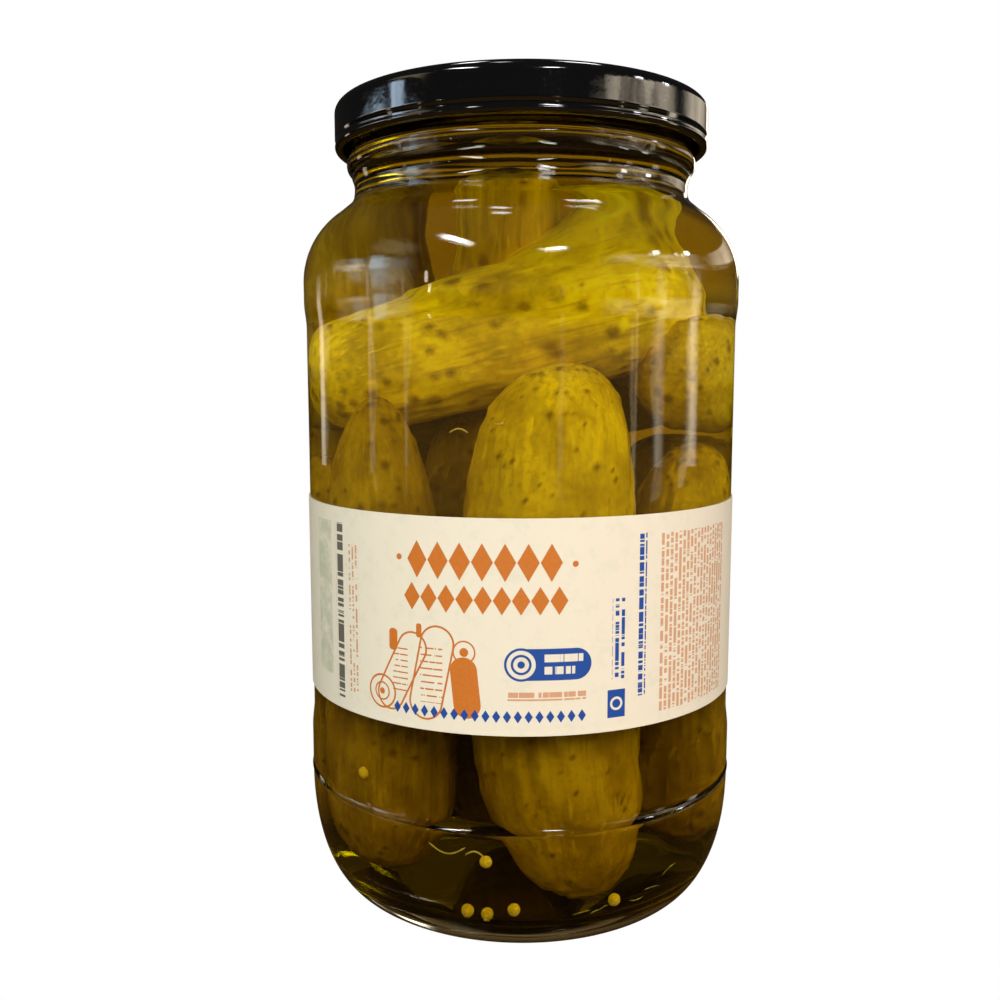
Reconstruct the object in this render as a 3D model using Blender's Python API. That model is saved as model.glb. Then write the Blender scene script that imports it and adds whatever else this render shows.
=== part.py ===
"""A two litre jar of whole pickled cucumbers, shut with a twist-off lid.

Sizes are in millimetres and turned into metres where a mesh is made.
The origin is the centre of the base, +Z is up, and the front of the label faces -Y.
"""
import math

import bmesh
import bpy
from mathutils import Matrix, Vector

MM = 0.001
GAP = 0.3                    # clearance between pieces that touch
SEGMENTS = 60                # flats round a turned piece

# The glass
BODY_R = 61.0                # on the two bands that jars knock against
PANEL_R = 60.4               # the label panel is sunk a little
WALL = 3.0
BASE_R = 46.4                # outer edge of the ring that the jar stands on
BASE_RING = 4.0              # width of that ring
PUSH_UP = 3.2                # height of the hollow under the base
FLOOR_Z = 8.6                # inside, at the middle
HEEL_TOP = 34.0
HEEL_POWER = 2.1             # the heel is a little squarer than an ellipse
PANEL_LOW, PANEL_HIGH = 52.0, 160.0
STEP_RISE = 1.2              # height over which the panel steps in
SHOULDER_Z = 171.3           # the shoulder's arc starts here
SHOULDER_ARC = 22.6
NECK_R = 46.4
NECK_Z = 197.0
BEAD_R, BEAD_Z, BEAD_HALF = 48.6, 203.6, 3.2
FINISH_R = 47.4
MOUTH_R = 43.4
RIM_TOP = 218.6
RIM_ROUND = 1.4

# The lid
LID_R = 51.75
LID_TOP = 219.6
LID_LOW = 207.0
LID_SHEET = 0.6
LID_CORNER = 2.6
CURL = 1.3                   # radius of the rolled edge
DISH_R = 42.4                # the sunk panel inside the rim
DISH_DEPTH = 1.3
BUTTON_R = 14.0
BUTTON_RISE = 0.7

# The label
LABEL_LOW, LABEL_HIGH = 59.7, 112.7
LABEL_SHEET = 0.25
LABEL_OPEN = 1               # flats left bare where its ends nearly meet, at the back

# Each cucumber: lower end, upper end, bow at its middle, girth, taper and the
# powers that round its two ends. A high power is blunt, a low one is pointed.
CUCUMBERS = {
    "front": ((14, -33, 9), (9.5, -35.5, 150), (-3.5, 0, 0), 40, 0.0, (5.5, 5.5)),
    "front_left": ((-30.5, -24, 14), (-33, -23, 141), (0, 0, 0), 34.5, -0.06, (6, 2.6)),
    "slanting": ((-50, -3, 142.5), (40, 2, 174), (0, 0, -3.5), 32, 0.25, (5, 5)),
    "right_end_on": ((44, -22, 146), (32, 34, 150), (2, 0, 0), 31, 0.0, (5, 5)),
    "right": ((39, -5, 12), (38, -4, 128), (0, 0, 0), 34, -0.1, (5, 4)),
    "middle": ((1, 8, 10), (0, 8, 138), (0, 0, 0), 32, 0.0, (5, 5)),
    "back_upper": ((-2, 29, 131), (-4, 27, 203), (0, 0, 0), 26, 0.0, (5, 4)),
    "back_left": ((-30, 28, 14), (-28, 26, 190), (0, 0, 0), 30, 0.0, (5, 5)),
    "left": ((-42, 4, 14), (-42, 4, 124), (0, 0, 0), 26, 0.0, (5, 4)),
    "back": ((0, 40, 12), (0, 40, 130), (0, 0, 0), 30, 0.0, (5, 5)),
    "back_right": ((30, 28, 12), (30, 28, 130), (0, 0, 0), 30, 0.0, (5, 5)),
}
CUCUMBER_SIDES = 12
CUCUMBER_RINGS = 11
CORE = ((4, 3, 18), (4, 3, 152), (0, 0, 0), 62, 0.0, (6, 6))


def clear_scene():
    for thing in list(bpy.data.objects):
        bpy.data.objects.remove(thing, do_unlink=True)


def material(name, colour, roughness, metallic=0.0, transmission=0.0, ior=1.45):
    made = bpy.data.materials.new(name)
    made.use_nodes = True
    shader = made.node_tree.nodes["Principled BSDF"]
    shader.inputs["Base Color"].default_value = (*colour, 1.0)
    shader.inputs["Roughness"].default_value = roughness
    shader.inputs["Metallic"].default_value = metallic
    shader.inputs["Transmission Weight"].default_value = transmission
    shader.inputs["IOR"].default_value = ior
    return made


def add_object(name, mesh, finish):
    mesh.materials.append(finish)
    mesh.shade_smooth()
    mesh.set_sharp_from_angle(angle=math.radians(35))
    thing = bpy.data.objects.new(name, mesh)
    bpy.context.collection.objects.link(thing)
    return thing


def turned(name, outline, finish, closed=False, open_flats=0):
    """A piece turned about the Z axis from (radius, height) points."""
    shape = bmesh.new()
    points = [shape.verts.new((r * MM, 0.0, z * MM)) for r, z in outline]
    lines = [shape.edges.new(pair) for pair in zip(points, points[1:])]
    if closed:
        lines.append(shape.edges.new((points[-1], points[0])))
    flats = SEGMENTS - open_flats
    sweep = 2 * math.pi * flats / SEGMENTS
    if open_flats:
        shape.faces.new(points)
    bmesh.ops.spin(shape, geom=points + lines + shape.faces[:], cent=(0, 0, 0),
                   axis=(0, 0, 1), angle=sweep, steps=flats)
    bmesh.ops.remove_doubles(shape, verts=shape.verts, dist=0.000001)
    to_back = math.pi / 2 + math.pi * open_flats / SEGMENTS
    bmesh.ops.rotate(shape, verts=shape.verts, cent=(0, 0, 0),
                     matrix=Matrix.Rotation(to_back, 3, "Z"))
    bmesh.ops.recalc_face_normals(shape, faces=shape.faces)
    mesh = bpy.data.meshes.new(name)
    shape.to_mesh(mesh)
    shape.free()
    return add_object(name, mesh, finish)


def arc(centre_r, centre_z, radius, start, end, steps):
    """Points on a round stretch of an outline, its angles in degrees from +R."""
    points = []
    for step in range(steps + 1):
        angle = math.radians(start + (end - start) * step / steps)
        points.append((centre_r + radius * math.cos(angle),
                       centre_z + radius * math.sin(angle)))
    return points


def heel(bottom_r, bottom_z, top_r, top_z, steps):
    """The curve from the base ring out and up to the upright wall."""
    points = []
    for step in range(steps + 1):
        turn = math.pi / 2 * step / steps
        across = math.sin(turn) ** (2 / HEEL_POWER)
        up = 1 - math.cos(turn) ** (2 / HEEL_POWER)
        points.append((bottom_r + (top_r - bottom_r) * across,
                       bottom_z + (top_z - bottom_z) * up))
    return points


def glass_outline():
    ring_in = BASE_R - BASE_RING
    under = [(0, PUSH_UP), (ring_in * 0.7, PUSH_UP * 0.72), (ring_in - 1.5, 1.0), (ring_in, 0)]
    lower_wall = heel(BASE_R, 0, BODY_R, HEEL_TOP, 8)
    panel = [(BODY_R, PANEL_LOW - STEP_RISE), (PANEL_R, PANEL_LOW),
             (PANEL_R, PANEL_HIGH), (BODY_R, PANEL_HIGH + STEP_RISE)]
    shoulder = arc(BODY_R - SHOULDER_ARC, SHOULDER_Z, SHOULDER_ARC, 0, 58, 7)
    neck = [(NECK_R + 1.0, NECK_Z - 4.2), (NECK_R, NECK_Z - 1.5), (NECK_R, NECK_Z + 1.5)]
    bead = arc(BEAD_R - BEAD_HALF, BEAD_Z, BEAD_HALF, -50, 50, 4)
    finish = [(FINISH_R, BEAD_Z + BEAD_HALF + 0.4), (FINISH_R, RIM_TOP - RIM_ROUND)]
    rim = [(FINISH_R - RIM_ROUND, RIM_TOP), (MOUTH_R + RIM_ROUND, RIM_TOP),
           (MOUTH_R, RIM_TOP - RIM_ROUND)]
    inner_shoulder = arc(BODY_R - SHOULDER_ARC, SHOULDER_Z, SHOULDER_ARC - WALL, 62, 0, 5)
    inner_neck = [(MOUTH_R, BEAD_Z - 4)]
    inner_wall = heel(BASE_R - 6, FLOOR_Z - 2, BODY_R - WALL, HEEL_TOP + 2, 6)
    inner_wall.reverse()
    return (under + lower_wall + panel + shoulder + neck + bead + finish + rim
            + inner_neck + inner_shoulder + inner_wall + [(0, FLOOR_Z)])


def lid_outline():
    """The pressed sheet from the middle of its top, out over the rim to the rolled edge."""
    inner_r = LID_R - LID_SHEET
    corner_r = LID_R - LID_CORNER
    dish_z = LID_TOP - DISH_DEPTH
    top = [(0, dish_z + BUTTON_RISE), (BUTTON_R - 2.5, dish_z + BUTTON_RISE),
           (BUTTON_R, dish_z), (DISH_R - 1.2, dish_z), (DISH_R, LID_TOP)]
    outside = arc(corner_r, LID_TOP - LID_CORNER, LID_CORNER, 90, 0, 4)
    roll = arc(LID_R - CURL, LID_LOW + CURL, CURL, 0, -270, 8)
    under_corner = LID_CORNER - LID_SHEET
    inside = arc(inner_r - under_corner, LID_TOP - LID_SHEET - under_corner,
                 under_corner, 0, 90, 3)
    under_top = [(DISH_R + 0.4, LID_TOP - LID_SHEET), (DISH_R - 1.2, dish_z - LID_SHEET),
                 (0, dish_z - LID_SHEET)]
    return top + outside + roll + inside + under_top


def label_outline():
    inner = PANEL_R + GAP
    outer = inner + LABEL_SHEET
    return [(inner, LABEL_LOW), (outer, LABEL_LOW), (outer, LABEL_HIGH), (inner, LABEL_HIGH)]


def cucumber_mesh(name, low, high, bow, girth, taper, ends):
    """A ball drawn out along a bowed line, with its two ends rounded by their own powers."""
    low, high, bow = Vector(low), Vector(high), Vector(bow)
    along = (high - low).normalized()
    side = along.cross(Vector((0.3, 0.2, 0.9))).normalized()
    other = along.cross(side)
    shape = bmesh.new()
    bmesh.ops.create_uvsphere(shape, u_segments=CUCUMBER_SIDES,
                              v_segments=CUCUMBER_RINGS + 1, radius=1.0)
    for vert in shape.verts:
        s = max(-1.0, min(1.0, vert.co.z))
        t = (s + 1) / 2
        middle = low.lerp(high, t) + bow * (4 * t * (1 - t))
        power = ends[0] if s < 0 else ends[1]
        radius = girth / 2 * math.sqrt(max(0.0, 1 - abs(s) ** power)) * (1 + taper * s)
        round_it = math.hypot(vert.co.x, vert.co.y) or 1.0
        out = side * (vert.co.x / round_it) + other * (vert.co.y / round_it)
        vert.co = (middle + out * radius) * MM
    bmesh.ops.recalc_face_normals(shape, faces=shape.faces)
    mesh = bpy.data.meshes.new(name)
    shape.to_mesh(mesh)
    shape.free()
    return mesh


def make_cucumbers(finish):
    """All the cucumbers, fused to a plain core so that the heap is one solid."""
    heap = add_object("pickles", cucumber_mesh("pickles", *CORE), finish)
    group = bpy.data.collections.new("cucumbers")
    for name, sizes in CUCUMBERS.items():
        mesh = cucumber_mesh(name, *sizes)
        mesh.materials.append(finish)
        group.objects.link(bpy.data.objects.new(name, mesh))
    joined = heap.modifiers.new("joined", "BOOLEAN")
    joined.operation = "UNION"
    joined.operand_type = "COLLECTION"
    joined.collection = group
    joined.solver = "EXACT"
    fused = bpy.data.meshes.new_from_object(
        heap.evaluated_get(bpy.context.evaluated_depsgraph_get()))
    heap.modifiers.remove(joined)
    heap.data = fused
    for thing in list(group.objects):
        bpy.data.objects.remove(thing, do_unlink=True)
    bpy.data.collections.remove(group)
    return heap


def make_jar():
    clear_scene()
    glass = material("clear_glass", (0.93, 0.95, 0.92), 0.02, transmission=1.0, ior=1.5)
    lacquer = material("black_lacquer", (0.012, 0.012, 0.013), 0.16)
    paper = material("label_paper", (0.86, 0.82, 0.70), 0.6)
    skin = material("pickled_skin", (0.40, 0.33, 0.02), 0.35)
    turned("glass_jar", glass_outline(), glass)
    turned("lid", lid_outline(), lacquer)
    turned("label", label_outline(), paper, closed=True, open_flats=LABEL_OPEN)
    make_cucumbers(skin)


make_jar()
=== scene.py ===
"""Looks of a two litre jar of whole pickled cucumbers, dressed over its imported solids.

Sizes below are in millimetres unless a name says otherwise. MM turns them into metres.
The jar stands at the origin, and the front of its label faces -Y.
"""

import math
import random

import bpy
import numpy as np
from mathutils import Euler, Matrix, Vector, noise


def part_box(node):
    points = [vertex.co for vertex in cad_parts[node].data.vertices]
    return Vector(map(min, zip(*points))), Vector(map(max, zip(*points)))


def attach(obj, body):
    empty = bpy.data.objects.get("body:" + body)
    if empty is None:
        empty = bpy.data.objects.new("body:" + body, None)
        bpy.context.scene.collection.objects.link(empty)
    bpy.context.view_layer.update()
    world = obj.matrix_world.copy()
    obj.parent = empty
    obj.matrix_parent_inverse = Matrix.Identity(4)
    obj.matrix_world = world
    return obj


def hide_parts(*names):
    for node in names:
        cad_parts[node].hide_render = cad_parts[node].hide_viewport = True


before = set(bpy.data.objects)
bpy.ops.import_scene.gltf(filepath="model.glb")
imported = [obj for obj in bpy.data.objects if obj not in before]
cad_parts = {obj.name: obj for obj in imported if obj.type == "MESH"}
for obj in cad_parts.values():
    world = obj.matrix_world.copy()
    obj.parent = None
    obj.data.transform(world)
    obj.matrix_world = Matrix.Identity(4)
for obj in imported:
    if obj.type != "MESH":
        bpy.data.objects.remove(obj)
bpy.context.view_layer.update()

MM = 0.001

# Driving sizes, read from the solids where they give them
_, JAR_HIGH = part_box("glass_jar")
LID_LOW_CORNER, LID_HIGH_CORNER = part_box("lid")
LABEL_LOW_CORNER, LABEL_HIGH_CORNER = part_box("label")
BODY_R = JAR_HIGH.x / MM
RIM_TOP = JAR_HIGH.z / MM
LID_R = LID_HIGH_CORNER.x / MM
LID_TOP = LID_HIGH_CORNER.z / MM
LID_LOW = LID_LOW_CORNER.z / MM
LABEL_LOW, LABEL_HIGH = LABEL_LOW_CORNER.z / MM, LABEL_HIGH_CORNER.z / MM
LABEL_R = BODY_R - 0.2

# The glass
PANEL_R = BODY_R - 0.6
WALL = 3.0
BASE_R = 46.4
BASE_RING = 4.0
PUSH_UP = 3.2
FLOOR_Z = 8.6
HEEL_TOP = 34.0
HEEL_POWER = 2.1
SEAM_Z = 34.6                # mould seam between base plate and body
SEAM_RISE = 0.24
PANEL_LOW, PANEL_HIGH = 52.0, 160.0
SHOULDER_Z = 171.3
SHOULDER_ARC = 22.6
NECK_R = 46.4
NECK_Z = 197.0
BEAD_R, BEAD_Z, BEAD_HALF = 48.6, 203.6, 3.2
FINISH_R = 47.4
MOUTH_R = 43.4
RIM_ROUND = 1.4
STEP_BLEND = 7.0             # height over which the panel runs out to the full width
WAVE_IN = 0.25               # unevenness of the blown inside
WAVE_OUT = 0.045             # unevenness of the outside, which breaks up its glints
WAVE_LOW, WAVE_HIGH = 5, RIM_TOP - 4    # the heights between which the glass waves
INTO_WALL = 0.15             # how far the brine reaches into the glass
BRINE_LEVEL = 210.0

# The lid
LID_SHEET = 0.6
LID_CORNER = 2.6
CURL = 1.3
DISH_R = 42.4
DISH_DEPTH = 1.3
BUTTON_R = 14.0
BUTTON_RISE = 0.7

# The label
LABEL_SHEET = 0.25
LABEL_GAP = 6.0              # degrees left bare at the back

# Each cucumber: lower end, upper end, bow at its middle, girth, taper and the
# powers that round its two ends, then how bright its skin is and how wide its warts
# are. How bright is partly the skin's own tone and partly painted light: back_upper's
# is raised against the lid's shadow. The last four before left_upper are as in the
# solid heap. The seven above them were shifted or thickened to match the photo, one
# end by 33 mm, and left_upper and back_across are only here. Neighbours run into one
# another, most at back_across.
CUCUMBERS = {
    "front": ((15, -32.5, 9), (9.5, -35.5, 150), (-5, 0, 0), 41, -0.02, (4.3, 5.5), 1.04, 1.15),
    "front_left": ((-31.5, -24, 13), (-33, -23, 141), (0, 0, 0), 35.5, -0.12, (6, 2.6), 0.68, 1.4),
    "slanting": ((-50, -4, 142.5), (40, 0, 170), (0, -5, 0), 38, 0.03, (5, 5), 1.74, 2.0),
    "right_end_on": ((43, -20, 145.5), (32, 34, 150), (2, 0, 0), 36, 0.0, (5, 5), 1.15, 1.4),
    "right": ((35, 8, 11), (38, -4, 128), (0, 0, 0), 34, -0.1, (5, 4), 1.25, 1.5),
    "middle": ((-2, 8, 10), (-6, 8, 142), (0, 0, 0), 33, 0.0, (5, 5), 0.8, 1.5),
    # back_upper's brightness of 1.3 is painted light that lifts it out of the lid's shadow.
    "back_upper": ((-2, 28, 131), (-3, -6, 200), (0, 0, 0), 26, -0.10, (5, 2.2), 1.3, 1.5),
    "back_left": ((-30, 28, 14), (-28, 26, 190), (0, 0, 0), 30, 0.0, (5, 5), 0.9, 1.8),
    "left": ((-42, 4, 14), (-42, 4, 124), (0, 0, 0), 26, 0.0, (5, 4), 1.1, 1.5),
    "back": ((0, 40, 12), (0, 40, 130), (0, 0, 0), 30, 0.0, (5, 5), 0.85, 1.5),
    "back_right": ((30, 28, 12), (30, 28, 130), (0, 0, 0), 30, 0.0, (5, 5), 0.85, 1.5),
    "left_upper": ((-36, 16, 130), (-35, 15, 182), (0, 0, 0), 30, 0.0, (5, 4), 1.0, 1.6),
    "back_across": ((-32, 18, 134), (34, 24, 146), (0, 4, 0), 31, 0.0, (5, 5), 0.6, 1.5),
}
SKIN_RINGS, SKIN_SIDES = 150, 112
LUMP_SIZE, KNOB_SIZE, GRAIN_SIZE = 19, 7.5, 3.1
LUMP_RISE, KNOB_RISE, GRAIN_RISE = 0.9, 0.45, 0.14
FACET_RISE, RIB_RISE = 0.45, 0.16
FOLD_RISE, STREAK_RISE, WART_RISE = 0.6, 0.15, 0.55
SKIN_SUNK = 0.9              # how far the whole skin is drawn in to make room for its lumps
WART_SPACING = 7.5           # mean distance between warts on a skin
OWN_APART = 300              # keeps the streaks of one cucumber unlike those of the next

# The small things: where they are across and up, as seen from the front
SEEDS = ((-1.2, 12.2), (-7.6, 10.2), (-12.3, 10.8), (23.0, 12.5), (-8.0, 26.0), (-39.0, 43.0))
SEED_R = 1.55
SEED_ROWS, SEED_COLS = 12, 18
DILL_SPOTS = ((13.0, 10.0), (17.0, 9.6), (20.0, 10.5), (32.0, 13.5), (35.0, 16.0), (28.0, 11.5))
DILL_R = 0.11
# Each onion strip: across, up, how far it runs to the right and how far it sags
ONION_STRIPS = ((-22.0, 29.5, 9.0, 2.2), (-13.0, 27.5, 4.5, -1.2),
                (-6.0, 134.8, 2.2, 0.2), (-16.5, 132.5, 4.5, -1.0))
ONION_R = 0.22
ONION_STEPS = 13

random.seed(11)


# Which output of a node is wanted, counted from 0
CAMERA_RAY, SHADOW_RAY, THROUGH_RAY = 0, 1, 6
VECTOR_OUT, FACTOR_OUT, MIXED_OUT = 1, 2, 2


# Shader sums, written as Python expressions

class Wire:
    """A number that leaves a node, on which sums can be written."""

    def __init__(self, sheet, socket):
        self.sheet, self.socket = sheet, socket

    def do(self, operation, *others):
        return self.sheet.node("ShaderNodeMath", {"operation": operation},
                               dict(enumerate((self,) + others)))

    def __add__(self, other):
        return self.do("ADD", other)

    def __radd__(self, other):
        return self.do("ADD", other)

    def __sub__(self, other):
        return self.do("SUBTRACT", other)

    def __rsub__(self, other):
        return self.sheet.number(other).do("SUBTRACT", self)

    def __mul__(self, other):
        return self.do("MULTIPLY", other)

    def __rmul__(self, other):
        return self.do("MULTIPLY", other)

    def __truediv__(self, other):
        return self.do("DIVIDE", other)

    def __gt__(self, other):
        return self.do("GREATER_THAN", other)

    def __lt__(self, other):
        return self.do("LESS_THAN", other)

    def __abs__(self):
        return self.do("ABSOLUTE")


class Finish:
    """One material, or the world, and the nodes that make it."""

    def __init__(self, name, holder=None):
        self.material = holder or bpy.data.materials.new(name)
        self.material.use_nodes = True
        self.tree = self.material.node_tree
        self.tree.nodes.clear()

    def node(self, kind, settings=None, sockets=None, out=0):
        made = self.tree.nodes.new(kind)
        for name, value in (settings or {}).items():
            if name == "stops":
                self.set_stops(made.color_ramp, value)
            else:
                setattr(made, name, value)
        for name, value in (sockets or {}).items():
            self.feed(made.inputs[name], value)
        return Wire(self, made.outputs[out])

    def set_stops(self, ramp, stops):
        while len(ramp.elements) < len(stops):
            ramp.elements.new(1.0)
        for element, (place, colour) in zip(ramp.elements, stops):
            element.position = place
            element.color = (*colour, 1.0)

    def feed(self, socket, value):
        if isinstance(value, Wire):
            self.tree.links.new(value.socket, socket)
        elif isinstance(value, tuple) and len(value) == 3 and socket.type == "RGBA":
            socket.default_value = (*value, 1.0)
        else:
            socket.default_value = value

    def number(self, value):
        made = self.node("ShaderNodeValue")
        made.socket.default_value = value
        return made

    def place(self):
        """Where a point is on the part, in millimetres."""
        where = self.node("ShaderNodeNewGeometry")
        return self.node("ShaderNodeVectorMath", {"operation": "SCALE"},
                         {0: where, "Scale": 1 / MM})

    def parts(self, vector):
        split = self.node("ShaderNodeSeparateXYZ", sockets={0: vector})
        outs = split.socket.node.outputs
        return [Wire(self, outs[axis]) for axis in range(3)]

    def join(self, x, y, z=0.0):
        return self.node("ShaderNodeCombineXYZ", sockets={0: x, 1: y, 2: z})

    def attribute(self, name, out=FACTOR_OUT):
        return self.node("ShaderNodeAttribute", {"attribute_name": name}, out=out)

    def ray(self, kind):
        """1 where the ray is of that kind, else 0."""
        return self.node("ShaderNodeLightPath", out=kind)

    def speckle(self, vector, scale, detail=2.0, rough=0.5, kind="3D"):
        return self.node("ShaderNodeTexNoise", {"noise_dimensions": kind},
                         {"Vector": vector, "Scale": scale, "Detail": detail, "Roughness": rough})

    def ramp(self, value, stops):
        return self.node("ShaderNodeValToRGB", {"stops": stops}, {0: value})

    def fade(self, value, low, high, to_low=0.0, to_high=1.0):
        return self.node("ShaderNodeMapRange", {"interpolation_type": "SMOOTHSTEP"},
                         {0: value, 1: low, 2: high, 3: to_low, 4: to_high})

    def mix(self, share, under, over, way="MIX"):
        return self.node("ShaderNodeMix", {"data_type": "RGBA", "blend_type": way},
                         {0: share, 6: under, 7: over}, out=MIXED_OUT)

    def bump(self, height, distance, strength=1.0):
        return self.node("ShaderNodeBump", sockets={
            "Height": height, "Distance": distance, "Strength": strength})

    def principled(self, **sockets):
        return self.node("ShaderNodeBsdfPrincipled", sockets={
            name.replace("_", " "): value for name, value in sockets.items()})

    def finish(self, surface, volume=None, kind="ShaderNodeOutputMaterial"):
        out = self.tree.nodes.new(kind)
        self.tree.links.new(surface.socket, out.inputs["Surface"])
        if volume:
            self.tree.links.new(volume.socket, out.inputs["Volume"])
        return self.material

    def blend(self, share, first, second):
        return self.node("ShaderNodeMixShader", sockets={0: share, 1: first, 2: second})

    def lets_lamps_through(self, surface, tint):
        """Clear stuff that bends what is seen through it, but passes lamp light straight on."""
        clear = self.node("ShaderNodeBsdfTransparent", sockets={"Color": tint})
        return self.blend(self.ray(SHADOW_RAY), surface, clear)


# Finishes

SKIN_OLIVES = [(0.32, (0.40, 0.262, 0.006)), (0.48, (0.62, 0.442, 0.008)),
               (0.62, (0.80, 0.600, 0.010))]
DULL_FLECK = (0.38, 0.245, 0.006)
BROWN_STREAK = (0.27, 0.160, 0.004)
PALE_STREAK = (1.0, 0.80, 0.04)
PALE_FOLD = (1.0, 0.80, 0.07)
WART_CROWN = (0.21, 0.112, 0.004)

LACQUER = (0.002, 0.002, 0.0022)
LACQUER_DUST = (0.004, 0.004, 0.004)

CREAM_LEFT, CREAM_RIGHT = (0.66, 0.62, 0.48), (0.69, 0.59, 0.445)
PAPER_FLECK = (0.56, 0.53, 0.39)
ORANGE_INK, ORANGE_THIN = (0.46, 0.118, 0.005), (0.54, 0.20, 0.03)
BLUE_INK = (0.006, 0.050, 0.235)
DARK_INK = (0.05, 0.045, 0.04)
GREEN_INK = (0.33, 0.38, 0.25)

def clear_glass():
    f = Finish("clear_glass")
    surface = f.principled(Base_Color=(0.975, 0.985, 0.97), Roughness=0.0, IOR=1.5,
                           Transmission_Weight=1.0)
    return f.finish(f.lets_lamps_through(surface, (0.96, 0.97, 0.95)))


def olive_brine():
    f = Finish("olive_brine")
    surface = f.principled(Base_Color=(1.0, 1.0, 1.0), Roughness=0.0, IOR=1.34,
                           Transmission_Weight=1.0)
    volume = f.node("ShaderNodeVolumeAbsorption",
                    sockets={"Color": (0.956, 0.944, 0.02), "Density": 200.0})
    return f.finish(f.lets_lamps_through(surface, (1.0, 1.0, 1.0)), volume)


def pickled_skin():
    """Wet skin: pale streaks along it, dull olive blotches, warts with darker crowns, and painted
    shade: lighter towards the top, darker towards the bottom and under the lid.
    """
    f = Finish("pickled_skin")
    where = f.place()
    height = f.parts(where)[2]
    wart, streak = f.attribute("wart"), f.attribute("streak")
    bright = f.attribute("bright")
    x, y, z = f.parts(f.attribute("own", VECTOR_OUT))
    lined = f.speckle(f.join(x, y, z * 0.10), 0.62, 2.0, 0.55)
    blotch = f.speckle(where, 0.07, 4.0, 0.6)
    fine = f.speckle(where, 0.55, 3.0, 0.6)
    skin = f.ramp(blotch, SKIN_OLIVES)
    skin = f.mix(f.fade(fine, 0.48, 0.70) * 0.35, skin, DULL_FLECK)
    patchy = f.fade(f.speckle(where, 0.045, 2.0), 0.36, 0.62)
    skin = f.mix(f.fade(lined, 0.49, 0.33) * (0.12 + patchy * 0.26), skin, BROWN_STREAK)
    skin = f.mix(f.fade(lined, 0.58, 0.72) * (0.08 + patchy * 0.44), skin, PALE_STREAK)
    skin = f.mix(f.fade(streak, 0.25, 0.9) * 0.55, skin, PALE_FOLD)
    skin = f.mix(f.fade(wart * (0.6 + fine * 0.8), 0.05, 0.85) * 0.88, skin, WART_CROWN)
    # Painted light and shade by height: lighter towards the top, a painted shadow of the lid from 183
    # mm up, and darker towards the bottom, more so in green, so low down is browner. Each cucumber's
    # bright value, partly painted light, scales all of it. The green factor also carries a
    # per-cucumber tone, greener for the brighter ones.
    top = f.fade(height, 90.0, 150.0, 0.80, 1.0) * f.fade(height, 183.0, 200.0, 1.0, 0.38)
    low = top * f.fade(height, 20.0, 165.0, 0.59, 1.0)
    green_shade_and_tone = top * f.fade(height, 8.0, 200.0, 0.38, 1.0) * (0.86 + bright * 0.135)
    shade = f.join(bright * low, bright * green_shade_and_tone, bright * low)
    skin = f.mix(1.0, skin, shade, "MULTIPLY")
    relief = fine * 0.4 + streak * 0.5 + lined * 0.5
    return f.finish(f.principled(Base_Color=skin, Roughness=0.45, IOR=1.38,
                                 Normal=f.bump(relief, 0.0004, 0.6)))


def black_lacquer():
    f = Finish("black_lacquer")
    where = f.place()
    peel = f.speckle(where, 0.35, 2.0)
    dust = f.speckle(where, 0.9, 5.0, 0.7)
    rough = f.fade(dust, 0.45, 0.75, 0.05, 0.14)
    colour = f.mix(f.fade(dust, 0.58, 0.8) * 0.5, LACQUER, LACQUER_DUST)
    return f.finish(f.principled(Base_Color=colour, Roughness=rough, IOR=2.0,
                                 Normal=f.bump(peel, 0.00008, 0.35)))


class Print:
    """Flat shapes on the label. u runs round it and v up it, in millimetres from its middle."""

    def __init__(self, f):
        self.f = f
        flat = f.node("ShaderNodeUVMap", {"uv_map": "flat_mm"})
        self.u, self.v, _ = f.parts(flat)

    def bar(self, left, right, low, high, soft=0.0):
        """A rectangle, with its corners rounded by soft."""
        mid_u, mid_v = (left + right) / 2, (low + high) / 2
        du = (abs(self.u - mid_u) - ((right - left) / 2 - soft)).do("MAXIMUM", 0.0)
        dv = (abs(self.v - mid_v) - ((high - low) / 2 - soft)).do("MAXIMUM", 0.0)
        return (du * du + dv * dv) < (soft * soft if soft else 1e-9)

    def disc(self, mid_u, mid_v, radius, hole=0.0):
        du, dv = self.u - mid_u, self.v - mid_v
        away = du * du + dv * dv
        whole = away < radius * radius
        return whole * (away > hole * hole) if hole else whole

    def pod(self, mid_u, mid_v, half, radius, tilt, hole=0.0):
        """A long round-ended shape, tilted, solid or as a line."""
        c, s = math.cos(math.radians(tilt)), math.sin(math.radians(tilt))
        du, dv = self.u - mid_u, self.v - mid_v
        along = (abs(du * c + dv * s) - half).do("MAXIMUM", 0.0)
        across = dv * c - du * s
        away = along * along + across * across
        whole = away < radius * radius
        return whole * (away > hole * hole) if hole else whole

    def row(self, left, right, low, high, count, slim=1.0):
        """A row of tall lozenges."""
        pitch = (right - left) / count
        inside = self.bar(left, right, low, high)
        cell = ((self.u - left) / pitch).do("FRACT")
        du = abs(cell - 0.5) * (2 / slim)
        dv = abs(self.v - (low + high) / 2) * (2 / (high - low))
        return inside * ((du + dv) < 0.96)

    def lines(self, left, right, low, high, pitch, upright, seed, cover=0.55, fill=0.5):
        """Broken thin lines."""
        across, along = (self.u, self.v) if upright else (self.v, self.u)
        cell = across / pitch
        line = cell.do("FRACT") < fill
        grain = self.f.speckle(self.f.join(cell.do("FLOOR") * 7.31 + seed, along * 0.9), 1.0,
                               2.0, 0.6, "2D")
        return self.bar(left, right, low, high) * line * (grain < cover)


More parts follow.
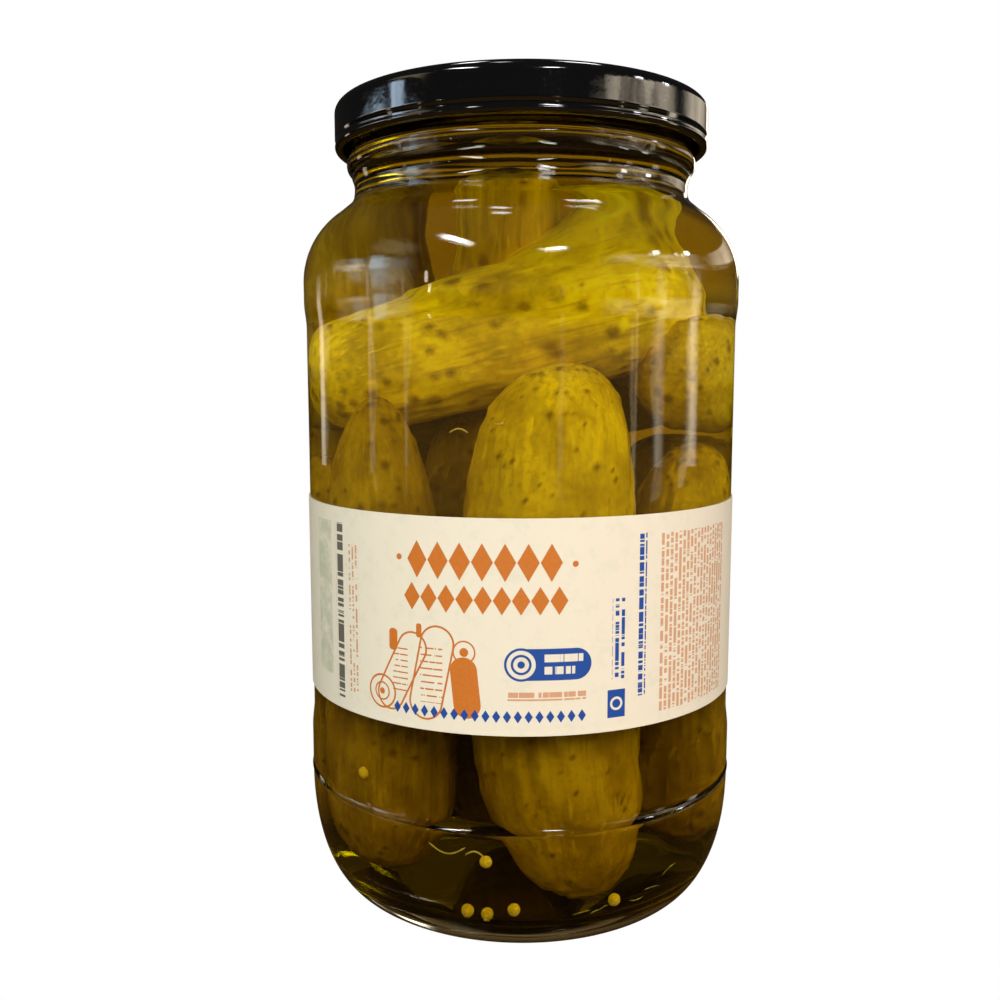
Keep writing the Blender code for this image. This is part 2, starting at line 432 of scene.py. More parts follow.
def label_paper():
    """Cream paper with a printed band of plain shapes."""
    f = Finish("label_paper")
    p = Print(f)
    where = f.place()
    flecks = f.speckle(where, 0.22, 5.0, 0.7)
    fibre = f.speckle(where, 1.6, 3.0, 0.6)
    paper = f.mix(f.fade(p.u, -60.0, 40.0), CREAM_LEFT, CREAM_RIGHT)
    paper = f.mix(f.fade(flecks, 0.48, 0.70) * 0.40, paper, PAPER_FLECK)

    titles = (p.row(-28.4, 10.4, 37.6, 47.2, 7)
              + p.row(-29.4, 11.8, 29.6, 36.8, 9)
              + p.disc(-30.7, 42.6, 0.75) + p.disc(13.4, 42.0, 0.75))
    motif = (p.pod(-30.5, 14.0, 7.0, 4.2, 62, 3.7) + p.pod(-22.0, 14.5, 7.5, 4.6, 78, 4.1)
             + p.pod(-13.2, 11.5, 4.2, 3.4, 96) + p.disc(-36.5, 8.0, 4.4, 3.9)
             + p.disc(-36.5, 8.0, 2.4, 2.0) + p.disc(-36.5, 8.0, 0.8)
             + p.disc(-13.5, 20.3, 2.9, 2.5) + p.disc(-13.5, 20.3, 1.1)
             + p.bar(-34.0, -31.5, 19.0, 24.5, 1.0) + p.bar(-26.0, -24.5, 23.0, 26.5, 0.6)
             + p.lines(-33.0, -28.5, 8.0, 21.0, 1.5, False, 3.0, 0.62, 0.22)
             + p.lines(-25.0, -19.0, 7.0, 22.0, 1.7, False, 9.0, 0.62, 0.22))
    small_orange = (p.lines(-2.9, 16.3, 8.8, 10.9, 2.4, False, 4.0, 0.62, 0.86)
                    + p.lines(-49.0, -44.5, 5.5, 44.0, 1.35, True, 12.0, 0.5)
                    + p.lines(37.0, 66.0, 3.0, 48.0, 1.55, True, 21.0, 0.55, 0.6))
    orange = (titles + motif + small_orange * 0.7).do("MINIMUM", 1.0)

    pill = p.bar(-3.2, 17.6, 13.8, 21.6, 3.9)
    badge_rim = p.disc(0.4, 17.7, 4.1)
    badge_face = p.disc(0.4, 17.7, 3.5)
    badge_mark = p.disc(0.4, 17.7, 2.5, 1.9) + p.disc(0.4, 17.7, 0.9)
    pill_lines = (p.lines(6.0, 15.5, 18.3, 20.2, 3.0, False, 2.0, 0.60, 0.9)
                  + p.lines(6.0, 13.5, 15.3, 17.2, 3.0, False, 8.0, 0.60, 0.9))
    blue = (pill * (1 - badge_face) * (1 - pill_lines) + badge_rim * (1 - badge_face) + badge_mark
            + p.row(-33.0, 16.6, 3.2, 6.4, 19, 0.8)
            + p.bar(21.9, 26.7, 3.4, 10.4) * (1 - p.disc(24.3, 6.9, 1.7, 1.1))
            + p.lines(23.0, 26.4, 13.0, 33.0, 1.7, True, 5.0, 0.55, 0.6)
            + p.lines(30.4, 32.6, 8.0, 48.5, 2.3, True, 6.0, 0.55, 0.8)).do("MINIMUM", 1.0)
    dark = p.lines(-54.6, -51.2, 3.0, 49.0, 3.6, True, 14.0, 0.56, 0.85)
    green = p.bar(-66.0, -57.2, 8.0, 49.0) * f.fade(flecks, 0.3, 0.6)

    ink = f.mix(f.fade(fibre, 0.35, 0.7) * 0.25, ORANGE_INK, ORANGE_THIN)
    colour = f.mix(orange * 0.98, paper, ink)
    colour = f.mix(blue * 0.99, colour, BLUE_INK)
    colour = f.mix(dark * 0.9, colour, DARK_INK)
    colour = f.mix(green * 0.55, colour, GREEN_INK)
    return f.finish(f.principled(Base_Color=colour, Roughness=0.5,
                                 Normal=f.bump(fibre, 0.00003, 0.4)))


def mustard_seed():
    f = Finish("mustard_seed")
    grain = f.speckle(f.place(), 1.2, 3.0)
    colour = f.ramp(grain, [(0.3, (0.46, 0.26, 0.015)), (0.7, (0.70, 0.43, 0.03))])
    return f.finish(f.principled(Base_Color=colour, Roughness=0.5, IOR=1.38))


def dill():
    f = Finish("dill")
    grain = f.speckle(f.place(), 0.8, 3.0)
    colour = f.ramp(grain, [(0.3, (0.20, 0.15, 0.04)), (0.7, (0.55, 0.44, 0.20))])
    return f.finish(f.principled(Base_Color=colour, Roughness=0.5, IOR=1.38))


def onion():
    f = Finish("onion")
    grain = f.speckle(f.place(), 0.6, 3.0)
    colour = f.ramp(grain, [(0.3, (0.34, 0.22, 0.05)), (0.7, (0.56, 0.40, 0.14))])
    return f.finish(f.principled(Base_Color=colour, Roughness=0.4, IOR=1.38))


# Shapes

def mesh_piece(name, mesh, finish):
    """A mesh as a smooth piece of the part."""
    mesh.materials.append(finish)
    mesh.shade_smooth()
    piece = bpy.data.objects.new(name, mesh)
    bpy.context.collection.objects.link(piece)
    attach(piece, "root")
    return piece


def new_piece(name, points, faces, finish, replaces=None):
    mesh = bpy.data.meshes.new(name)
    mesh.from_pydata([tuple(p) for p in np.asarray(points) * MM], [], faces)
    mesh.validate()
    piece = mesh_piece(name, mesh, finish)
    if replaces:
        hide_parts(replaces)
    return piece


def ring_faces(start, rings, sides):
    """Four-sided faces between rings of points, which follow one another from start."""
    faces = []
    for ring in range(rings - 1):
        a, b = start + ring * sides, start + (ring + 1) * sides
        for i in range(sides):
            j = (i + 1) % sides
            faces.append((a + i, a + j, b + j, b + i))
    return faces


def turned(name, outline, finish, steps=192, wave=None, replaces=None):
    """A closed piece turned about Z from (radius, height) points, which start and end on the axis."""
    inner = outline[1:-1]
    angles = np.arange(steps) * 2 * math.pi / steps
    rings = []
    for r, z in inner:
        radii = np.full(steps, float(r))
        if wave:
            radii += wave(r, z, angles)
        rings.append(np.stack([radii * np.sin(angles), -radii * np.cos(angles),
                               np.full(steps, float(z))], axis=1))
    points = np.concatenate(rings + [[(0, 0, outline[0][1])], [(0, 0, outline[-1][1])]])
    first, last = len(inner) * steps, len(inner) * steps + 1
    faces = ring_faces(0, len(inner), steps)
    end =(len(inner) - 1) * steps
    for i in range(steps):
        j = (i + 1) % steps
        faces.append((first, j, i))
        faces.append((last, end + i, end + j))
    return new_piece(name, points, faces, finish, replaces)


def arc(centre_r, centre_z, radius, start, end, steps):
    points = []
    for step in range(steps + 1):
        angle = math.radians(start + (end - start) * step / steps)
        points.append((centre_r + radius * math.cos(angle),
                       centre_z + radius * math.sin(angle)))
    return points


def straight(low, high, steps):
    """Points between two points, without the two themselves."""
    return [tuple(np.array(low) + (np.array(high) - np.array(low)) * s / steps)
            for s in range(1, steps)]


def heel(bottom_r, bottom_z, top_r, top_z, steps):
    points = []
    for step in range(steps + 1):
        turn = math.pi / 2 * step / steps
        across = math.sin(turn) ** (2 / HEEL_POWER)
        up = 1 - abs(math.cos(turn)) ** (2 / HEEL_POWER)
        points.append((bottom_r + (top_r - bottom_r) * across,
                       bottom_z + (top_z - bottom_z) * up))
    return points


def seam():
    return arc(BODY_R, SEAM_Z, SEAM_RISE, -85, 85, 10)


def eased(low, high, steps=10):
    """An easy run from one radius to another."""
    made = []
    for step in range(steps + 1):
        t = step / steps
        ease = t * t * (3 - 2 * t)
        made.append((low[0] + (high[0] - low[0]) * ease, low[1] + (high[1] - low[1]) * t))
    return made


def dense(points, reach):
    """The same outline with its long runs cut into short ones."""
    made = [points[0]]
    for here, there in zip(points, points[1:]):
        away = math.dist(here, there)
        made += straight(here, there, max(int(away / reach), 1)) + [there]
    return made


def rounded(points, radius, steps=4):
    """The same outline with each of its inner corners cut by a small arc."""
    made = [points[0]]
    for before, corner, after in zip(points, points[1:], points[2:]):
        before, corner, after = (np.array(p, float) for p in (before, corner, after))
        to_before, to_after = before - corner, after - corner
        cut = min(radius, np.linalg.norm(to_before) * 0.45, np.linalg.norm(to_after) * 0.45)
        start = corner + to_before / np.linalg.norm(to_before) * cut
        end = corner + to_after / np.linalg.norm(to_after) * cut
        for step in range(steps + 1):
            t = step / steps
            made.append(tuple((1 - t) ** 2 * start + 2 * t * (1 - t) * corner + t * t * end))
    return made + [points[-1]]


def inner_outline(grow=0.0):
    """The glass's inside, from the middle of its floor up to the mouth."""
    wall = heel(BASE_R - 6, FLOOR_Z - 2, BODY_R - WALL + grow, HEEL_TOP + 2, 26)
    shoulder = arc(BODY_R - SHOULDER_ARC, SHOULDER_Z, SHOULDER_ARC - WALL + grow, 0, 62, 16)
    neck = [(MOUTH_R + 1.2 + grow, NECK_Z - 6.5), (MOUTH_R + grow, NECK_Z - 2)]
    return ([(0, FLOOR_Z - grow), (BASE_R * 0.5, FLOOR_Z - 0.6 - grow)] + wall
            + straight(wall[-1], shoulder[0], 24) + shoulder
            + rounded([shoulder[-1]] + neck + [(MOUTH_R + grow, BEAD_Z)], 3.0)[1:])


def glass_outline():
    ring_in = BASE_R - BASE_RING
    under = [(0, PUSH_UP), (ring_in * 0.35, PUSH_UP * 0.93), (ring_in * 0.7, PUSH_UP * 0.72),
             (ring_in - 1.5, 1.0), (ring_in, 0)]
    lower_wall = heel(BASE_R, 0, BODY_R, HEEL_TOP - 0.6, 40)
    panel = (eased((BODY_R, PANEL_LOW + 1 - STEP_BLEND), (PANEL_R, PANEL_LOW + 1))
             + eased((PANEL_R, PANEL_HIGH - 1), (BODY_R, PANEL_HIGH - 1 + STEP_BLEND)))
    shoulder = arc(BODY_R - SHOULDER_ARC, SHOULDER_Z, SHOULDER_ARC, 0, 56, 30)
    fillet = rounded([shoulder[-1], (NECK_R + 0.4, NECK_Z - 3.4), (NECK_R, NECK_Z + 1.2),
                      (BEAD_R - 0.9, BEAD_Z - 2.4)], 4.0, 8)[1:-1]
    bead = arc(BEAD_R - BEAD_HALF, BEAD_Z, BEAD_HALF, -50, 50, 12)
    finish = [(FINISH_R, BEAD_Z + BEAD_HALF + 0.4), (FINISH_R, RIM_TOP - RIM_ROUND)]
    rim = arc(FINISH_R - RIM_ROUND, RIM_TOP - RIM_ROUND, RIM_ROUND, 10, 90, 5)
    rim_in = arc(MOUTH_R + RIM_ROUND, RIM_TOP - RIM_ROUND, RIM_ROUND, 90, 180, 5)
    inside = inner_outline()
    inside.reverse()
    outside = dense(under + lower_wall + seam() + panel + shoulder, 3.5)
    return outside + fillet + bead + finish + rim + rim_in + inside


def make_glass():
    """The jar, with the slight waves that blown glass has inside and, fainter, outside."""
    def wave(r, z, angles):
        if z < WAVE_LOW or z > WAVE_HIGH:
            return 0.0
        inside = r < inner_radius(z) + 0.8
        amount = WAVE_IN if inside else WAVE_OUT
        turns = np.stack([np.sin(angles), np.cos(angles)], axis=1)
        drift = 0.0 if inside else 40.0
        broad = [noise.noise(Vector((s * 2.6 + drift, c * 2.6, z / 16))) for s, c in turns]
        small = [noise.noise(Vector((s * 7.0 + drift, c * 7.0, z / 7))) for s, c in turns]
        return amount * (np.array(broad) + 0.35 * np.array(small))

    turned("glass_jar_clear", glass_outline(), clear_glass(), 240, wave, "glass_jar")


def inner_radius(z):
    """The glass's inner radius at a height."""
    line = inner_outline()
    heights = [point[1] for point in line]
    return float(np.interp(z, heights, [point[0] for point in line]))


def make_brine():
    """The brine, just into the wall all round, up to a level hidden by the lid's edge."""
    outline = inner_outline(INTO_WALL + WAVE_IN)
    edge = outline[-1][0]
    surface = [(edge, BRINE_LEVEL), (edge - 1.0, BRINE_LEVEL - 0.6),
               (edge - 2.5, BRINE_LEVEL - 0.9), (0, BRINE_LEVEL - 0.9)]
    turned("brine", outline + surface, olive_brine(), 160)


def make_lid():
    inner_r = LID_R - LID_SHEET
    corner_r = LID_R - LID_CORNER
    dish_z = LID_TOP - DISH_DEPTH
    top = rounded([(0, dish_z + BUTTON_RISE), (BUTTON_R - 2.5, dish_z + BUTTON_RISE),
                   (BUTTON_R, dish_z), (DISH_R - 1.2, dish_z), (DISH_R, LID_TOP),
                   (corner_r, LID_TOP)], 0.9)
    outside = arc(corner_r, LID_TOP - LID_CORNER, LID_CORNER, 88, 0, 12)
    step_in = [(LID_R, LID_LOW + 3.2), (LID_R - 0.35, LID_LOW + 2.7)]
    roll = arc(LID_R - CURL, LID_LOW + CURL, CURL, 8, -265, 26)
    under_corner = LID_CORNER - LID_SHEET
    inside = arc(inner_r - under_corner, LID_TOP - LID_SHEET - under_corner,
                 under_corner, 0, 90, 6)
    under_top = [(DISH_R + 0.4, LID_TOP - LID_SHEET), (DISH_R - 1.2, dish_z - LID_SHEET),
                 (0, dish_z - LID_SHEET)]
    side = straight(outside[-1], step_in[0], 8)
    turned("lid_lacquered", top + outside + side + step_in + roll + inside + under_top,
           black_lacquer(), 256, replaces="lid")


def make_label():
    """The paper band, with its flat size laid out in millimetres for the print."""
    across, up = 300, 12
    half = math.radians(180 - LABEL_GAP / 2)
    outer, inner = LABEL_R, LABEL_R - LABEL_SHEET
    points, faces, flat = [], [], []
    for r in (outer, inner):
        for i in range(across + 1):
            angle = -half + 2 * half * i / across
            for j in range(up + 1):
                z = LABEL_LOW + (LABEL_HIGH - LABEL_LOW) * j / up
                points.append((r * math.sin(angle), -r * math.cos(angle), z))
                flat.append((angle * outer, z - LABEL_LOW))
    side = (across + 1) * (up + 1)

    def at(layer, i, j):
        return layer * side + i * (up + 1) + j

    for i in range(across):
        for j in range(up):
            faces.append((at(0, i, j), at(0, i + 1, j), at(0, i + 1, j + 1), at(0, i, j + 1)))
            faces.append((at(1, i, j), at(1, i, j + 1), at(1, i + 1, j + 1), at(1, i + 1, j)))
        faces.append((at(0, i, up), at(0, i + 1, up), at(1, i + 1, up), at(1, i, up)))
        faces.append((at(0, i + 1, 0), at(0, i, 0), at(1, i, 0), at(1, i + 1, 0)))
    for j in range(up):
        faces.append((at(0, 0, j), at(0, 0, j + 1), at(1, 0, j + 1), at(1, 0, j)))
        faces.append((at(0, across, j + 1), at(0, across, j), at(1, across, j), at(1, across, j + 1)))
    piece = new_piece("label_printed", points, faces, label_paper(), "label")
    layer = piece.data.uv_layers.new(name="flat_mm")
    spots = np.zeros(len(piece.data.loops), np.int32)
    piece.data.loops.foreach_get("vertex_index", spots)
    layer.data.foreach_set("uv", np.array(flat, np.float32)[spots].ravel())
    piece.data.set_sharp_from_angle(angle=math.radians(40))


def make_cucumber(name, low, high, bow, girth, taper, ends, bright, pits, finish, seed):
    """A cucumber with a slightly three-sided section, fine ribs, lumps and warts."""
    low, high, bow = (np.array(p, float) for p in (low, high, bow))
    draw = np.random.default_rng(seed)
    turn = np.linspace(-math.pi / 2, math.pi / 2, SKIN_RINGS)
    s = np.sin(turn)
    t = (s + 1) / 2
    middle = low + (high - low) * t[:, None] + bow * (4 * t * (1 - t))[:, None]
    power = np.where(s < 0, ends[0], ends[1])
    radius = girth / 2 * np.sqrt(np.clip(1 - np.abs(s) ** power, 0, None)) * (1 + taper * s)
    along = (high - low) / np.linalg.norm(high - low)
    side = np.cross(along, (0.3, 0.2, 0.9))
    side /= np.linalg.norm(side)
    other = np.cross(along, side)
    round_it = np.linspace(0, 2 * math.pi, SKIN_SIDES, endpoint=False)
    out = side * np.cos(round_it)[:, None] + other * np.sin(round_it)[:, None]
    base = middle[:, None, :] + radius[:, None, None] * out[None, :, :]
    flat = base.reshape(-1, 3)
    fullness = np.repeat(radius / (girth / 2), SKIN_SIDES)
    outward = np.tile(out, (SKIN_RINGS, 1))
    tips = np.repeat(s, SKIN_SIDES)[:, None] * along * (1 - fullness)[:, None]
    outward = outward * fullness[:, None] + tips
    outward /= np.linalg.norm(outward, axis=1)[:, None]

    drift = Vector((seed * 13.7, seed * 5.1, 0))
    lumps = np.array([noise.noise(Vector(p) / LUMP_SIZE + drift) for p in flat])
    grain = np.array([noise.noise(Vector(p) / GRAIN_SIZE + drift) for p in flat])
    knobs = np.array([noise.noise(Vector(p) / KNOB_SIZE - drift) for p in flat])
    angle = np.tile(round_it, SKIN_RINGS)
    length = np.repeat(t, SKIN_SIDES) * np.linalg.norm(high - low)
    swerve = angle + 0.10 * lumps
    fold = np.array([noise.noise(Vector((math.cos(a) * 6.5, math.sin(a) * 6.5, z / 22)) + drift)
                     for a, z in zip(swerve, length)])
    streak = np.clip(1 - np.abs(fold) * 7, 0, 1) * np.clip(0.5 + 1.6 * lumps, 0, 1) * fullness ** 2
    facets = FACET_RISE * np.cos(3 * angle + seed) * fullness ** 2
    ribs = RIB_RISE * np.cos(10 * angle + 2.0 * lumps + seed * 2.0) * fullness ** 2

    count = int(math.pi * girth * np.linalg.norm(high - low) / WART_SPACING ** 2)
    picked = flat[draw.integers(SKIN_SIDES * 4, len(flat) - SKIN_SIDES * 4, count)]
    wart = np.zeros(len(flat))
    rise = np.zeros(len(flat))
    for spot in picked:
        wide = draw.uniform(0.5, 1.2) * pits
        away = np.linalg.norm(flat - spot, axis=1)
        strength = draw.uniform(0.4, 1.0)
        wart = np.maximum(wart, strength * np.exp(-(away / wide) ** 2))
        rise = np.maximum(rise, strength * WART_RISE * np.exp(-(away / (wide * 1.5)) ** 2))
    shift = lumps * LUMP_RISE + knobs * KNOB_RISE + grain * GRAIN_RISE + facets + ribs + rise
    shift += (fold * FOLD_RISE + streak * STREAK_RISE) * fullness ** 2
    skin = flat + outward * (shift - SKIN_SUNK)[:, None]
    piece = closed_skin(name, skin, finish)

    bright_all = np.full(len(flat), bright)
    for label, values in (("wart", wart), ("streak", streak), ("bright", bright_all)):
        layer = piece.data.attributes.new(label, "FLOAT", "POINT")
        layer.data.foreach_set("value", values.astype(np.float32))
    spread = fullness * girth / 2
    own = np.stack([np.cos(angle) * spread, np.sin(angle) * spread, length + seed * OWN_APART],
                   axis=1)
    layer = piece.data.attributes.new("own", "FLOAT_VECTOR", "POINT")
    layer.data.foreach_set("vector", own.astype(np.float32).ravel())
    return piece


def closed_skin(name, skin, finish):
    """A skin whose end rings are drawn in to one point each, so that it is closed."""
    skin[:SKIN_SIDES] = skin[:SKIN_SIDES].mean(axis=0)
    skin[-SKIN_SIDES:] = skin[-SKIN_SIDES:].mean(axis=0)
    mesh = bpy.data.meshes.new(name)
    mesh.from_pydata([tuple(p) for p in skin * MM], [], ring_faces(0, SKIN_RINGS, SKIN_SIDES))
    return mesh_piece(name, mesh, finish)


def make_cucumbers():
    finish = pickled_skin()
    for seed, (name, sizes) in enumerate(CUCUMBERS.items()):
        piece = make_cucumber("cucumber_" + name, *sizes, finish, seed + 3)
        if name == "front":
            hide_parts("pickles")


def on_wall(x, z, depth):
    """A spot inside the front wall, depth in from it."""
    r = inner_radius(z) - depth
    return Vector((x, -math.sqrt(max(r * r - x * x, 0.0)), z))


def make_seeds():
    points, faces = [], []
    for number, (x, z) in enumerate(SEEDS):
        middle = on_wall(x, z, SEED_R + 0.5)
        start = len(points)
        for i in range(SEED_ROWS + 1):
            for j in range(SEED_COLS):
                a, b = math.pi * i / SEED_ROWS, 2 * math.pi * j / SEED_COLS
                way = Vector((math.sin(a) * math.cos(b), math.sin(a) * math.sin(b), math.cos(a)))
                lump = 1 + 0.05 * noise.noise(way * 1.7 + Vector((number * 3.0, 0, 0)))
                points.append(middle + way * SEED_R * lump)
        for here, beside, above, over in ring_faces(start, SEED_ROWS + 1, SEED_COLS):
            faces.append((here, over, above, beside))
    new_piece("mustard_seeds", points, faces, mustard_seed())


def tube(points, faces, path, radius, sides=7):
    """Adds a thin closed tube along a path."""
    start = len(points)
    path = [Vector(p) for p in path]
    for i, here in enumerate(path):
        before, after = path[max(i - 1, 0)], path[min(i + 1, len(path) - 1)]
        along = (after - before).normalized()
        side = along.cross(Vector((0.2, 0.4, 0.9))).normalized()
        other = along.cross(side)
        thin = radius * (0.25 if i in (0, len(path) - 1) else 1.0)
        for j in range(sides):
            angle = 2 * math.pi * j / sides
            points.append(here + (side * math.cos(angle) + other * math.sin(angle)) * thin)
    faces += ring_faces(start, len(path), sides)
    faces.append(tuple(start + j for j in reversed(range(sides))))
    last = start + (len(path) - 1) * sides
    faces.append(tuple(last + j for j in range(sides)))


def make_dill():
    """Short dill hairs that lie on the heel inside."""
    points, faces = [], []
    for x, z in DILL_SPOTS:
        lean = random.uniform(-0.6, 0.9)
        sag = random.uniform(-0.6, 0.6)
        reach = random.uniform(2.0, 4.5)
        x += random.uniform(-1.5, 1.5)
        path = []
        for t in (0, 0.25, 0.5, 0.75, 1.0):
            up = z + lean * reach * t * 0.6 + sag * math.sin(math.pi * t)
            path.append(on_wall(x + reach * t, up, 1.0 + 1.2 * t))
        tube(points, faces, path, DILL_R)
    new_piece("dill_hairs", points, faces, dill())


def make_onion():
    """Thin curled onion strips in the gap between the two front cucumbers."""
    points, faces = [], []
    for start_x, start_z, reach, curl in ONION_STRIPS:
        path = []
        for step in range(ONION_STEPS + 1):
            t = step / ONION_STEPS
            path.append(on_wall(start_x + reach * t, start_z - curl * math.sin(math.pi * t), 1.6))
        tube(points, faces, path, ONION_R)
    new_piece("onion_strips", points, faces, onion())


# The room

WHITE = (1, 1, 1)
WARM, BEIGE, COOL = (1.0, 0.80, 0.50), (1.0, 0.86, 0.66), (0.62, 0.80, 1.0)

# Each lamp: azimuth and elevation in degrees, then its distance, width and height in
# metres and its watts
LAMPS = {
    "front_key": (2, 34, 1.6, 2.4, 0.8, 34),
    "front_low": (4, 8, 1.6, 2.4, 0.6, 10),
    "overhead": (0, 80, 1.4, 1.3, 1.0, 16),
    "fill_left": (-80, 14, 1.8, 1.6, 0.9, 12),
    "fill_right": (80, 14, 1.8, 1.6, 0.9, 16),
}

# Each card: azimuth, elevation, width and height in degrees, strength and colour, then
# for some a turn in degrees and how patchy the card is
CARDS = {
    "aisle_right_far": (98, -8, 12, 36, 3.2, BEIGE),
    "aisle_right_near": (74, -8, 9, 36, 2.2, BEIGE),
    "aisle_right_thin": (59, -7, 3, 32, 2.0, WARM),
    "aisle_middle": (20, -6, 4, 26, 0.7, WARM),
    "aisle_left_near": (-59, -4, 3, 28, 1.6, WARM),
    "aisle_left_far": (-81, -4, 4, 30, 1.8, BEIGE),
    "aisle_left_edge": (-125, -8, 10, 36, 2.4, BEIGE),
    "tube_left": (-36, 37, 26, 5, 34.0, WHITE, -30),
    "spot_left": (-46, 7, 3, 2, 14.0, BEIGE),
    "tube_front": (18, 26, 16, 4, 28.0, WHITE, 15),
    "tube_right": (72, 22, 7, 4, 28.0, WHITE),
    "tube_right_far": (94, 21, 7, 4, 24.0, WHITE),
    "ceiling": (-32, 78, 10, 4, 12.0, WHITE),
    "ceiling_right": (124, 72, 16, 12, 14.0, WHITE),
    "ceiling_left": (-128, 74, 14, 8, 14.0, WHITE),
    "window_left": (-76, 14, 16, 14, 4.0, COOL),
    "window_left_wide": (-84, 13, 64, 11, 2.4, COOL, 0, 0.8),
    "shelf_right": (74, 16.5, 78, 9, 2.6, BEIGE, 0, 0.85),
    "shelf_right_bright": (92, 16.5, 28, 9, 2.0, BEIGE),
    "shelf_right_far": (130, 16.5, 50, 9, 2.0, BEIGE),
    "shelf_neck_right": (84, 12, 60, 5, 5.0, BEIGE, 0, 0.6),
    "shelf_neck_left": (-84, 12, 60, 5, 4.0, BEIGE, 0, 0.6),
    "shelf_right_edge": (157, 14, 14, 15, 5.0, BEIGE),
    "shelf_left": (-70, 28, 40, 14, 0.9, WARM, -15),
}
AIM = Vector((0, 0, 0.12))   # in metres, as are the next two
CARD_AWAY = 1.5
FLOOR_HALF = 40.0

CAMERA_AWAY = 303.1
CAMERA_HIGH = 145.7
CAMERA_DOWN = 6.734          # degrees
CAMERA_AIM = 1.10            # degrees left of the jar
CAMERA_LENS = 37.47          # on a sensor 36 wide


def make_camera():
    data = bpy.data.cameras.new("camera")
    data.sensor_width = 36.0
    data.lens = CAMERA_LENS
    data.clip_start = 0.01
    camera = bpy.data.objects.new("camera", data)
    camera.location = (0, -CAMERA_AWAY * MM, CAMERA_HIGH * MM)
    camera.rotation_euler = Euler((math.radians(90 - CAMERA_DOWN), 0, math.radians(CAMERA_AIM)))
    bpy.context.collection.objects.link(camera)
    bpy.context.scene.camera = camera


def direction(azimuth, elevation):
    """Azimuth 0 is the front and 90 the right, in degrees."""
    a, e = math.radians(azimuth), math.radians(elevation)
    return Vector((math.sin(a) * math.cos(e), -math.cos(a) * math.cos(e), math.sin(e)))


def lamp(name, azimuth, elevation, away, wide, tall, watts):
    """A large soft panel that lights the jar and doesn't mirror in it."""
    data = bpy.data.lights.new(name, "AREA")
    data.shape = "RECTANGLE"
    data.size, data.size_y = wide, tall
    data.energy = watts
    data.color = WHITE
    panel = bpy.data.objects.new(name, data)
    way = direction(azimuth, elevation)
    panel.location = AIM + way * away
    panel.rotation_euler = (-way).to_track_quat("-Z", "Y").to_euler()
    panel.visible_glossy = panel.visible_transmission = False
    bpy.context.collection.objects.link(panel)


def card(name, azimuth, elevation, wide, tall, strength, colour, turn=0.0, grain=0.4):
    """A bright thing in the room that mirrors in glass and lid. Its sizes are in degrees."""
    f = Finish(name)
    u, v, _ = f.parts(f.node("ShaderNodeUVMap", {"uv_map": "span"}))
    across = f.fade(u, 0.0, 0.35) * f.fade(u, 1.0, 0.65)
    along = f.fade(v, 0.0, 0.15) * f.fade(v, 1.0, 0.85)
    cover = across * along
    patch = f.speckle(f.join(u * wide / 10, v * tall / 10 + azimuth), 1.0, 2.0)
    bright = cover * strength * f.fade(patch, 0.35, 0.65, 1 - grain, 1.0)
    glow = f.node("ShaderNodeEmission", sockets={"Color": colour, "Strength": bright})
    clear = f.node("ShaderNodeBsdfTransparent")
    finish = f.finish(f.blend(cover, clear, glow))
    finish.cycles.emission_sampling = "NONE"
    half_w = CARD_AWAY * math.tan(math.radians(wide / 2))
    half_h = CARD_AWAY * math.tan(math.radians(tall / 2))
    mesh = bpy.data.meshes.new(name)
    mesh.from_pydata([(-half_w, -half_h, 0), (half_w, -half_h, 0), (half_w, half_h, 0),
                      (-half_w, half_h, 0)], [], [(0, 1, 2, 3)])
    layer = mesh.uv_layers.new(name="span")
    layer.data.foreach_set("uv", [0, 0, 1, 0, 1, 1, 0, 1])
    mesh.materials.append(finish)
    panel = bpy.data.objects.new(name, mesh)
    way = direction(azimuth, elevation)
    panel.location = AIM + way * CARD_AWAY
    facing = (-way).to_track_quat("-Z", "Y") @ Euler((0, 0, math.radians(turn))).to_quaternion()
    panel.rotation_euler = facing.to_euler()
    panel.visible_camera = panel.visible_diffuse = panel.visible_shadow = False
    bpy.context.collection.objects.link(panel)


def make_lights():
    for name, sizes in LAMPS.items():
        lamp(name, *sizes)
    for name, sizes in CARDS.items():
        card(name, *sizes)


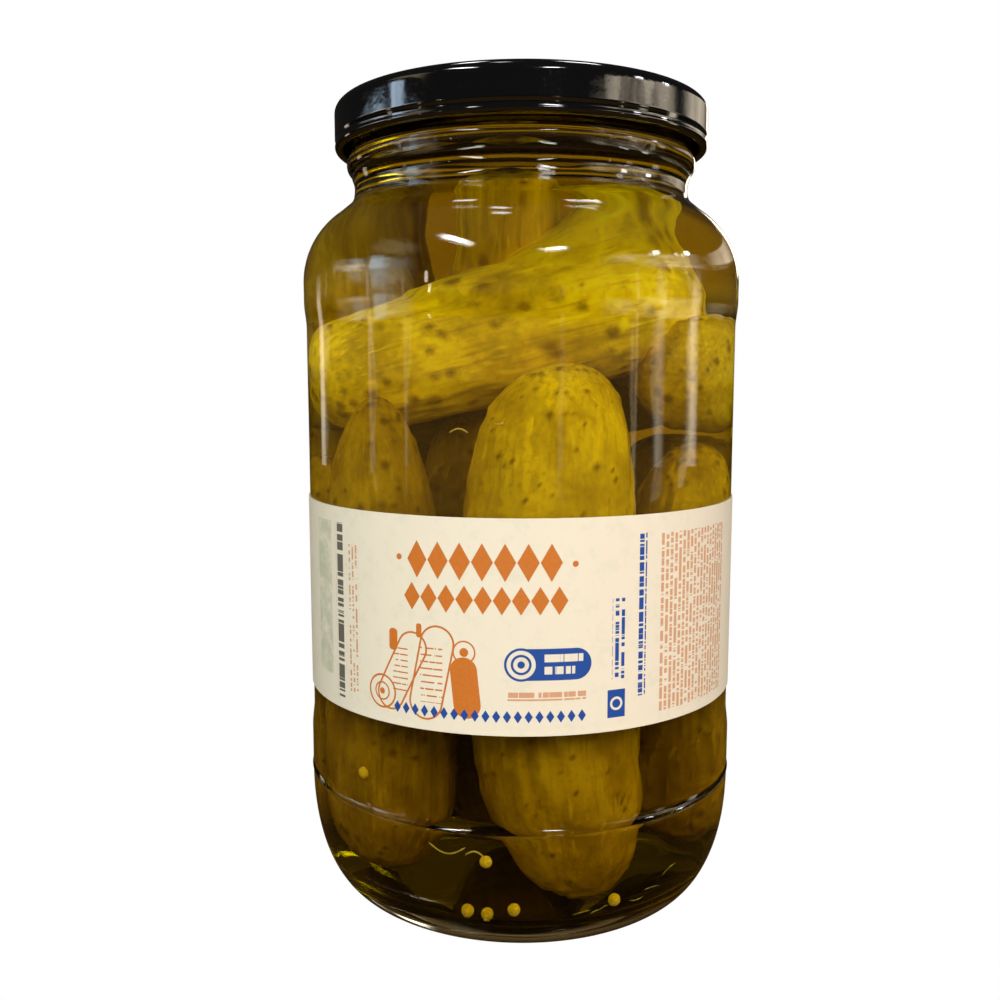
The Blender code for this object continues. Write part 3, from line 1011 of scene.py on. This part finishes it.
def make_world():
    """White to the camera, dim to mirrors, and a warm glow where it is seen through the jar."""
    f = Finish("room", bpy.data.worlds.new("room"))
    up = f.parts(f.node("ShaderNodeTexCoord"))[2]
    white = f.node("ShaderNodeBackground", sockets={"Color": WHITE})
    dim = f.node("ShaderNodeBackground", sockets={"Color": (1.0, 0.94, 0.86), "Strength": 0.02})
    dark_band = f.fade(up, 0.03, 0.15) * f.fade(up, 0.66, 0.50)
    bright = 0.52 - dark_band * 0.45 - f.fade(up, 0.50, 0.66) * 0.30
    behind = f.node("ShaderNodeBackground", sockets={
        "Color": (1.0, 0.64, 0.26), "Strength": bright})
    room = f.blend(f.ray(THROUGH_RAY), dim, behind)
    room = f.blend(f.ray(CAMERA_RAY), room, white)
    bpy.context.scene.world = f.finish(room, kind="ShaderNodeOutputWorld")


def make_floor():
    """White to the camera, dark to mirrors, and a warm glow far off as seen through the jar."""
    f = Finish("pale_floor")
    x, y, _ = f.parts(f.place())
    away = (x * x + y * y).do("SQRT")
    dim = f.node("ShaderNodeBsdfDiffuse", sockets={"Color": (0.05, 0.026, 0.005)})
    white = f.node("ShaderNodeEmission", sockets={"Color": WHITE})
    far = f.node("ShaderNodeEmission", sockets={
        "Color": (1.0, 0.58, 0.14), "Strength": f.fade(away, 350.0, 900.0, 0.0, 0.50)})
    seen_through = f.blend(f.ray(THROUGH_RAY), dim, far)
    finish = f.finish(f.blend(f.ray(CAMERA_RAY), seen_through, white))
    finish.cycles.emission_sampling = "NONE"
    mesh = bpy.data.meshes.new("floor")
    mesh.from_pydata([(-FLOOR_HALF, -FLOOR_HALF, 0), (FLOOR_HALF, -FLOOR_HALF, 0),
                      (FLOOR_HALF, FLOOR_HALF, 0), (-FLOOR_HALF, FLOOR_HALF, 0)],
                     [], [(0, 1, 2, 3)])
    mesh.materials.append(finish)
    floor = bpy.data.objects.new("floor", mesh)
    bpy.context.collection.objects.link(floor)


make_glass()
make_brine()
make_lid()
make_label()
make_cucumbers()
make_seeds()
make_dill()
make_onion()
make_camera()
make_lights()
make_world()
make_floor()
bpy.context.scene.view_settings.view_transform = "Standard"
